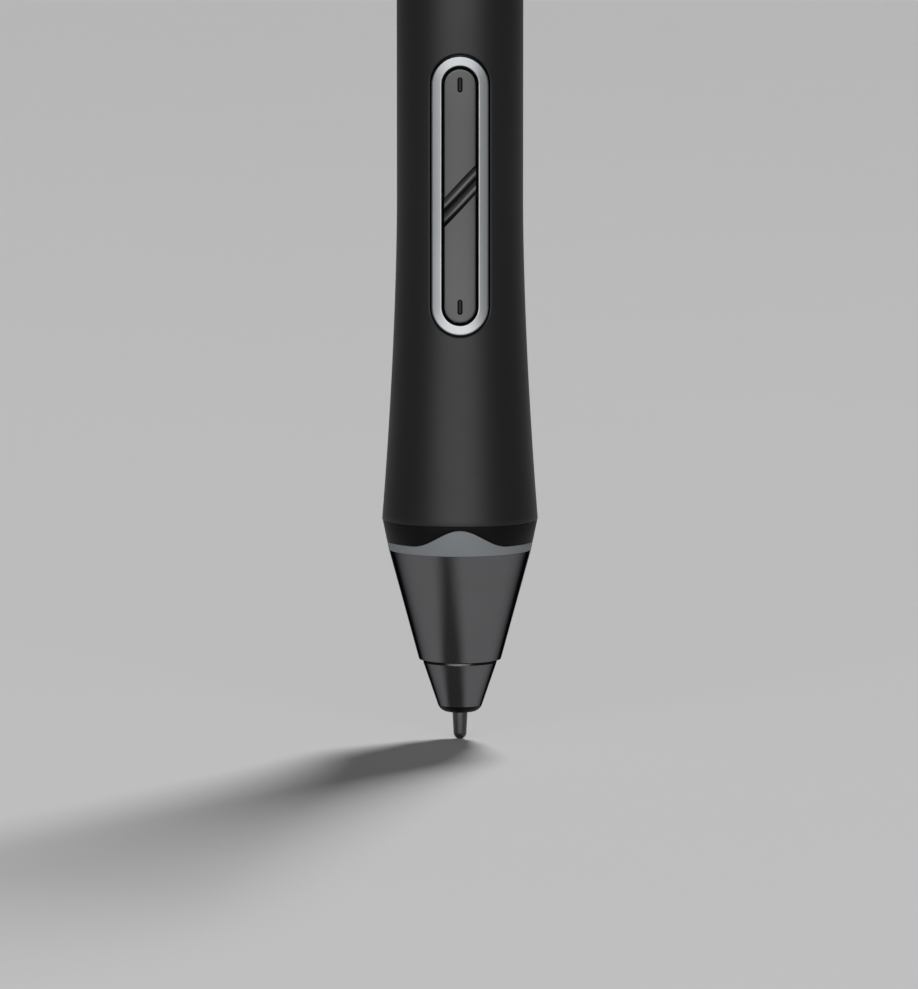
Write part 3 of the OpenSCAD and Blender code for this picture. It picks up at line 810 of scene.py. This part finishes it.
@dataclass
class Barrel:
    """Soft-touch grip with the key's pocket, the rear half and the tail cap."""

    neck_r: float = 5.55
    flange_h: float = 1.5
    bore_r: float = 4.55
    lap_r: float = 5.25
    lap_z: float = head("grip_barrel")
    lap_gap: float = 0.05
    rear_r: float = 5.85
    taper_len: float = 32.0
    tail_z: float = head("rear_barrel")
    tail_r: float = 5.0
    tail_end_r: float = 4.6
    tail_end_z: float = head("tail_cap")
    tail_round: float = 2.2
    plug_r: float = 3.5
    plug_z: float = foot("tail_cap")
    plug_edge: float = 0.3
    seam_edge: float = 0.12
    flare_steps: int = 48
    button_z: float = KEY_PIVOT.z
    pocket_w: float = 5.64
    pocket_len: float = 26.74
    pocket_depth: float = 0.8
    pocket_lip: float = 0.2
    lip_steps: int = 8
    slot_w: float = 4.8
    slot_len: float = 25.9
    slot_depth: float = 3.0
    cutter_out: float = 0.6

    def build(self) -> None:
        """Build the three shells of the barrel."""
        self.build_grip()
        taper_z = self.tail_z - self.taper_len
        rear = [
            Corner(self.lap_r + self.lap_gap, SKIN.rear_z),
            Corner(self.rear_r, SKIN.rear_z, self.seam_edge),
            Corner(self.rear_r, taper_z),
            Corner(self.tail_r, self.tail_z, self.seam_edge),
            Corner(self.plug_r + self.lap_gap, self.tail_z),
            Corner(self.plug_r + self.lap_gap, self.plug_z),
            Corner(self.bore_r, taper_z),
            Corner(self.bore_r, self.lap_z),
            Corner(self.lap_r + self.lap_gap, self.lap_z),
        ]
        tail = [
            Corner(0.0, self.plug_z),
            Corner(self.plug_r, self.plug_z, self.plug_edge),
            Corner(self.plug_r, self.tail_z),
            Corner(self.tail_r, self.tail_z, self.seam_edge),
            Corner(self.tail_end_r, self.tail_end_z, self.tail_round),
            Corner(0.0, self.tail_end_z),
        ]
        hand_over(add_object("rear_shell", turn(rear), SOFT_TOUCH), Body.PEN, "soft_black", "rear_barrel")
        hand_over(add_object("tail_shell", turn(tail), SOFT_TOUCH), Body.PEN, "soft_black", "tail_cap")

    def build_grip(self) -> None:
        """Turn the flared grip and cut the pocket and the slot for the bezel."""
        heights = [
            SKIN.grip_z + SKIN.flare_len * i / self.flare_steps for i in range(1, self.flare_steps + 1)
        ]
        neck_z = head("front_cone") + self.flange_h
        outline = [
            Corner(self.neck_r, SKIN.grip_z),
            Corner(SKIN.grip_r, SKIN.grip_z, self.seam_edge),
            *(Corner(SKIN.radius(z), z) for z in heights),
            Corner(SKIN.barrel_r, SKIN.rear_z, self.seam_edge),
            Corner(self.lap_r, SKIN.rear_z),
            Corner(self.lap_r, self.lap_z),
            Corner(self.bore_r, self.lap_z),
            Corner(self.bore_r, neck_z),
            Corner(self.neck_r, neck_z),
        ]
        grip = add_object("grip_shell", turn(outline), SOFT_TOUCH)
        pocket = Track(self.pocket_w, self.pocket_len, self.button_z)
        flare = self.pocket_lip + self.cutter_out
        lip = quarter((0.0, -self.pocket_lip), (-self.pocket_lip, 0.0), self.lip_steps)[:-1]
        section = pocket.cap(0.0, -self.pocket_depth)[::-1] + lip + pocket.cap(-flare, self.cutter_out)
        work(grip, pocket.sweep(section), Join.CUT, SOFT_TOUCH)
        slot = Track(self.slot_w, self.slot_len, self.button_z)
        section = slot.cap(0.0, -self.slot_depth)[::-1] + slot.cap(0.0, self.cutter_out)
        work(grip, slot.sweep(section), Join.CUT, SOFT_TOUCH)
        hand_over(grip, Body.PEN, "soft_black", "grip_barrel")


@dataclass
class RockerButton:
    """Bright bezel in the barrel and the two-way key that tilts in it."""

    centre: float = KEY_PIVOT.z
    bezel_w: float = 5.4
    bezel_len: float = 26.5
    rim_w: float = 0.95
    rim_proud: float = 0.25
    rim_seat: float = 0.8
    rim_edge: float = 0.09
    rim_hold: float = 0.06
    skirt_wall: float = 0.6
    skirt_depth: float = 2.0
    skim: float = 0.02
    side_steps: int = 60
    key_gap: float = 0.25
    key_proud: float = 0.4
    key_sink: float = 0.9
    key_edge: float = 0.06
    key_rings: int = 8
    groove_w: float = 1.04
    groove_depth: float = 0.32
    groove_pitch: float = 0.957
    groove_bend: float = 12.9
    groove_slant: float = 45.0
    groove_steps: int = 48
    bend_steps: int = 180
    mark_w: float = 0.5
    mark_len: float = 1.45
    mark_line: float = 0.13
    mark_depth: float = 0.2
    mark_inset: float = 1.5
    mark_arc_steps: int = 20
    mark_side_steps: int = 6
    mark_rings: int = 3
    pip_sink: float = 0.03
    pivot_y: float = -KEY_PIVOT.y
    pivot_r: float = 0.55
    pivot_gap: float = 0.05
    pivot_half: float = 2.25
    nub_r: float = 0.7
    nub_y: float = 3.95
    switch_arm: float = 9.0
    tool_out: float = 0.3

    @property
    def key_w(self) -> float:
        """Width of the key."""
        return self.bezel_w - 2 * (self.rim_w + self.key_gap)

    @property
    def key_len(self) -> float:
        """Length of the key."""
        return self.bezel_len - 2 * (self.rim_w + self.key_gap)

    def build(self) -> None:
        """Build the bezel and the key."""
        self.build_bezel()
        self.build_key()

    def pin(self, radius: float, half: float) -> bmesh.types.BMesh:
        """Make a round pin across the pen at the key's pivot.

        Args:
            radius: Radius of the pin.
            half: Half of its length.

        Returns:
            The pin.
        """
        return rod(Vector((0, -self.pivot_y, self.centre)), "Y", radius, 2 * half)

    def build_bezel(self) -> None:
        """Sweep the bezel's section round the opening and bore it for the pivot."""
        track = Track(self.bezel_w, self.bezel_len, self.centre, side_steps=self.side_steps)
        edge, wall = self.rim_edge, self.rim_proud - self.rim_edge
        inner = self.rim_w - self.skirt_wall
        hold = edge + self.rim_hold
        top = quarter((0.0, wall), (edge, self.rim_proud))
        back = quarter((self.rim_w, wall), (self.rim_w - edge, self.rim_proud))
        flat = [(hold, self.rim_proud), (self.rim_w - hold, self.rim_proud)]
        section = [
            (0.0, -self.rim_seat), *top, *flat, *back[::-1], (self.rim_w, -self.skirt_depth),
            (inner, -self.skirt_depth), (inner, -self.rim_seat), (0.0, -self.rim_seat),
        ]
        bezel = add_object("bezel_frame", track.sweep(section), ALUMINIUM)
        # The inside of the skirt is painted near-black: painted shade where the aluminium sits in shadow.
        work(bezel, self.painted_shade_liner(track), Join.CUT, SATIN_ABS_AND_PAINTED_SHADE)
        bore = self.pin(self.pivot_r + self.pivot_gap, self.pivot_half + self.pivot_gap)
        work(bezel, bore, Join.CUT, ALUMINIUM)
        hand_over(bezel, Body.PEN, "satin_silver", "button_bezel")

    def painted_shade_liner(self, track: Track) -> bmesh.types.BMesh:
        """Make the tool that skims the inside of the bezel's skirt and paints it near-black as painted
        shade.

        Args:
            track: Outline of the bezel.

        Returns:
            The tool.
        """
        outer, inner = self.rim_w - self.skim, self.rim_w + self.skim
        high, low = self.rim_proud - self.rim_edge - self.rim_hold, -self.skirt_depth - self.skim
        return track.sweep([(outer, low), (outer, high), (inner, high), (inner, low), (outer, low)])

    def build_key(self) -> None:
        """Sweep the key, weld on its pivot and nubs, and cut its grooves and marks."""
        track = Track(self.key_w, self.key_len, self.centre, side_steps=self.side_steps)
        top = track.cap(self.key_edge, self.key_proud, self.key_rings)
        rounding = quarter((0.0, self.key_proud - self.key_edge), top[0])
        section = track.cap(0.0, -self.key_sink)[::-1] + rounding + top[1:]
        key = add_object("key_cap", track.sweep(section), KEY_LACQUER)
        self.weld_pivot(key)
        high = self.key_proud + self.tool_out
        low = self.key_proud - self.mark_depth
        for side in (-1, 1):
            work(key, self.groove(side), Join.CUT, KEY_LACQUER)
            work(key, self.mark(side, 0.0, low, high), Join.CUT, MARK_BLACK)
            pip = self.mark(side, self.mark_line, low - self.pip_sink, self.key_proud - self.pip_sink)
            work(key, pip, Join.WELD, CHARCOAL_ABS_AND_PAINTED_SHADE)
        hand_over(key, Body.ROCKER, "key_grey", "rocker_key")

    def weld_pivot(self, key: bpy.types.Object) -> None:
        """Weld the lug, its pin and the two nubs under the key.

        Args:
            key: The key's object.
        """
        roof = SKIN.radius(self.centre) - self.key_sink / 2
        depth = roof - self.pivot_y
        lug = bmesh.new()
        bmesh.ops.create_cube(lug, size=1.0)
        bmesh.ops.scale(lug, vec=Vector((self.key_w, depth, 2 * self.pivot_r)) * MM, verts=lug.verts)
        middle = Vector((0, -self.pivot_y - depth / 2, self.centre)) * MM
        bmesh.ops.translate(lug, vec=middle, verts=lug.verts)
        # The lug, pin and nubs are charcoal as painted shade, so that the pin shows no glint in the gap.
        work(key, lug, Join.WELD, CHARCOAL_ABS_AND_PAINTED_SHADE)
        work(key, self.pin(self.pivot_r, self.pivot_half), Join.WELD, CHARCOAL_ABS_AND_PAINTED_SHADE)
        for side in (-1, 1):
            middle = Vector((0, -(roof + self.nub_y) / 2, self.centre + side * self.switch_arm))
            work(key, rod(middle, "X", self.nub_r, roof - self.nub_y), Join.WELD, CHARCOAL_ABS_AND_PAINTED_SHADE)

    def groove(self, side: int) -> bmesh.types.BMesh:
        """Make the bent bar that cuts one slanting groove.

        Args:
            side: -1 for the lower groove and 1 for the upper one.

        Returns:
            The bar.
        """
        half, depth = self.groove_w / 2, self.groove_depth
        cut_r = (half * half + depth * depth) / (2 * depth)
        crown = SKIN.radius(self.centre) + self.key_proud
        bm = bmesh.new()
        start = Matrix.Translation(Vector((self.groove_bend - depth + cut_r, 0, 0)) * MM)
        bmesh.ops.create_circle(
            bm, segments=self.groove_steps, radius=cut_r * MM,
            matrix=start @ Matrix.Rotation(math.pi / 2, 4, "X"),
        )
        bmesh.ops.spin(
            bm, geom=bm.verts[:] + bm.edges[:], cent=ORIGIN, axis=AXIS, angle=math.tau,
            steps=self.bend_steps, use_merge=True,
        )
        bmesh.ops.remove_doubles(bm, verts=bm.verts, dist=MERGE)
        bmesh.ops.recalc_face_normals(bm, faces=bm.faces)
        place = (
            Matrix.Translation(Vector((0, self.groove_bend - crown, self.centre)) * MM)
            @ Matrix.Rotation(-math.radians(self.groove_slant), 4, "Y")
            @ Matrix.Translation(Vector((0, 0, side * self.groove_pitch / 2)) * MM)
        )
        bmesh.ops.transform(bm, matrix=place, verts=bm.verts)
        return bm

    def mark(self, side: int, inset: float, low: float, high: float) -> bmesh.types.BMesh:
        """Make the small oval block of one mark, for its recess or its pip.

        Args:
            side: -1 for the lower mark and 1 for the upper one.
            inset: How far inside the mark's outline the block stays.
            low: Height of the block's foot over the barrel's skin.
            high: Height of its top.

        Returns:
            The block.
        """
        middle = self.centre + side * (self.key_len / 2 - self.mark_inset)
        width, length = self.mark_w - 2 * inset, self.mark_len - 2 * inset
        track = Track(width, length, middle, self.mark_arc_steps, self.mark_side_steps)
        foot_rings = track.cap(0.0, low, self.mark_rings)[::-1]
        return track.sweep(foot_rings + track.cap(0.0, high, self.mark_rings))


@dataclass
class Inside:
    """Return spring, and the CAD pieces inside the barrel that only need their surfaces."""

    spring_z: float = foot("return_spring")
    spring_top: float = head("return_spring")
    spring_r: float = 1.45
    wire_r: float = 0.15
    wire_steps: int = 12
    coils: int = 5
    coil_steps: int = 40
    press: float = 1.0

    def surfaces(self) -> dict[str, Finish]:
        """Surface of each CAD node that is kept as it is."""
        return {
            "carrier": NYLON,
            "ferrite_core": FERRITE,
            "coil_winding": COPPER,
            "coil_leads": COPPER,
            "nib_holder": WHITE_ACETAL,
            "pressure_sensor": CAN_PAINT,
            "circuit_board": SOLDER_MASK,
            "board_chips": EPOXY,
            "board_screws": STEEL,
            "upper_switch": EPOXY,
            "lower_switch": EPOXY,
            "upper_plunger": CREAM_NYLON,
            "lower_plunger": CREAM_NYLON,
        }

    def build(self) -> None:
        """Wind the spring at its length at rest."""
        length = self.spring_top - self.spring_z
        steps = self.coils * self.coil_steps
        bm = bmesh.new()
        start = Matrix.Translation(Vector((self.spring_r, 0, self.spring_z + self.wire_r)) * MM)
        bmesh.ops.create_circle(
            bm, segments=self.wire_steps, radius=self.wire_r * MM,
            matrix=start @ Matrix.Rotation(math.pi / 2, 4, "X"),
        )
        rise = (length - 2 * self.wire_r) / steps
        bmesh.ops.spin(
            bm, geom=bm.verts[:] + bm.edges[:], cent=ORIGIN, axis=AXIS, dvec=(0, 0, rise * MM),
            angle=math.tau * self.coils, steps=steps,
        )
        bmesh.ops.holes_fill(bm, edges=[e for e in bm.edges if e.is_boundary], sides=0)
        bmesh.ops.recalc_face_normals(bm, faces=bm.faces)
        spring = add_object("spring_wire", bm, STEEL)
        hand_over(spring, Body.PEN, "spring_steel", "return_spring")
        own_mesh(spring)

    def dress(self, nodes: dict[str, bpy.types.Object]) -> None:
        """Give the kept CAD nodes their surfaces.

        Args:
            nodes: The frame's CAD nodes by name.
        """
        for name, finish in self.surfaces().items():
            materials = nodes[name].data.materials
            materials.clear()
            materials.append(finish.material())
            LOG.info("%s: CAD node in %s", name, finish.name)


@dataclass(frozen=True)
class SoftBox:
    """Flat soft lamp.

    Attributes:
        name: Name of the lamp.
        place: Where its middle is, in metres.
        aim: Point that it faces.
        width: Width of its face.
        height: Height of its face.
        radiance: Brightness of its face, where 1 is white.
    """

    name: str
    place: tuple[float, float, float]
    aim: tuple[float, float, float]
    width: float
    height: float
    radiance: float

    def build(self) -> None:
        """Hang the lamp, unseen by the camera."""
        lamp = bpy.data.lights.new(self.name, "AREA")
        lamp.shape = "RECTANGLE"
        lamp.size = self.width
        lamp.size_y = self.height
        lamp.energy = self.radiance * math.pi * self.width * self.height
        holder = bpy.data.objects.new(self.name, lamp)
        holder.location = self.place
        way = Vector(self.aim) - Vector(self.place)
        holder.rotation_euler = way.to_track_quat("-Z", "Y").to_euler()
        holder.visible_camera = False
        bpy.context.scene.collection.objects.link(holder)


@dataclass(frozen=True)
class FarLamp:
    """Soft lamp far behind the pen, which lights the whole floor evenly.

    Attributes:
        name: Name of the lamp.
        side: How far it hangs to the right of straight behind, in degrees.
        height: How high it hangs over the floor, in degrees.
        spread: Width of its face as the pen sees it, in degrees.
        level: Light on a surface that faces it, where 1 shows a colour as written.
    """

    name: str
    side: float
    height: float
    spread: float
    level: float

    def build(self) -> None:
        """Hang the lamp."""
        lamp = bpy.data.lights.new(self.name, "SUN")
        lamp.angle = math.radians(self.spread)
        lamp.energy = self.level * math.pi
        holder = bpy.data.objects.new(self.name, lamp)
        side, height = math.radians(self.side), math.radians(self.height)
        from_pen = Vector((math.sin(side), math.cos(side), math.tan(height)))
        holder.location = from_pen
        holder.rotation_euler = (-from_pen).to_track_quat("-Z", "Y").to_euler()
        bpy.context.scene.collection.objects.link(holder)


@dataclass
class Studio:
    """Pale floor that curves up into a backdrop, soft lamps and the camera, placed in metres."""

    lens: float = 250.0
    sensor: float = 36.0
    distance: float = 0.661
    elevation: float = 6.0
    target: tuple[float, float, float] = (-0.0000968, 0.0, 0.023715)
    floor_half: float = 4.0
    floor_front: float = -4.0
    cove_y: float = 3.5
    cove_r: float = 0.5
    cove_steps: int = 24
    wall_h: float = 1.0
    world_colour: str = "#303030"
    front_box: SoftBox = SoftBox(
        "front_box", place=(-0.18, -2.85, 0.45), aim=(0.0, 0.0, 0.45), width=4.08, height=0.9, radiance=6.2
    )
    back_lamp: FarLamp = FarLamp("back_lamp", side=22.0, height=54.0, spread=15.0, level=0.78)

    def build(self) -> None:
        """Build the floor, the lamps and the camera."""
        self.build_floor()
        self.front_box.build()
        self.back_lamp.build()
        world = bpy.context.scene.world or bpy.data.worlds.new("studio")
        bpy.context.scene.world = world
        world.use_nodes = True
        world.node_tree.nodes["Background"].inputs["Color"].default_value = linear(self.world_colour)
        self.build_camera()

    def build_floor(self) -> None:
        """Pull the floor out of one edge, round the cove and up the wall."""
        bm = bmesh.new()
        ends = [bm.verts.new((x, self.floor_front, 0)) for x in (-self.floor_half, self.floor_half)]
        edge = bm.edges.new(ends)
        moved = self.pull(bm, edge, Vector((0, self.cove_y - self.floor_front, 0)))
        spun = bmesh.ops.spin(
            bm, geom=[moved, *moved.verts], cent=(0, self.cove_y, self.cove_r), axis=(1, 0, 0),
            angle=math.pi / 2, steps=self.cove_steps,
        )["geom_last"]
        last = next(g for g in spun if isinstance(g, bmesh.types.BMEdge))
        self.pull(bm, last, Vector((0, 0, self.wall_h)))
        bmesh.ops.recalc_face_normals(bm, faces=bm.faces)
        floor = add_object("studio_floor", bm, PAPER)
        floor.data.shade_smooth()

    @staticmethod
    def pull(bm: bmesh.types.BMesh, edge: bmesh.types.BMEdge, way: Vector) -> bmesh.types.BMEdge:
        """Extrude one edge along a way.

        Args:
            bm: Mesh that grows.
            edge: Edge to extrude.
            way: How far, and where to.

        Returns:
            The edge at the far end.
        """
        made = bmesh.ops.extrude_edge_only(bm, edges=[edge])["geom"]
        verts = [g for g in made if isinstance(g, bmesh.types.BMVert)]
        bmesh.ops.translate(bm, vec=way, verts=verts)
        return bm.edges.get(verts)

    def build_camera(self) -> None:
        """Set the camera at the photograph's angle and make it the scene's."""
        lens = bpy.data.cameras.new("camera")
        lens.lens = self.lens
        lens.sensor_width = self.sensor
        camera = bpy.data.objects.new("camera", lens)
        angle = math.radians(self.elevation)
        back = Vector((0, -math.cos(angle), math.sin(angle)))
        camera.location = Vector(self.target) + self.distance * back
        camera.rotation_euler = (-back).to_track_quat("-Z", "Y").to_euler()
        bpy.context.scene.collection.objects.link(camera)
        bpy.context.scene.camera = camera


def main() -> None:
    """Build the pen's pieces in order, then the studio round it."""
    logging.basicConfig(level=logging.INFO, format="%(name)s %(message)s")
    bpy.context.scene.view_settings.view_transform = "Standard"
    Studio().build()
    NibUnit().build()
    FrontEnd().build()
    Shoulder().build()
    Barrel().build()
    RockerButton().build()
    inside = Inside()
    inside.build()
    inside.dress(frame["nodes"])


if __name__ == "__main__":
    main()
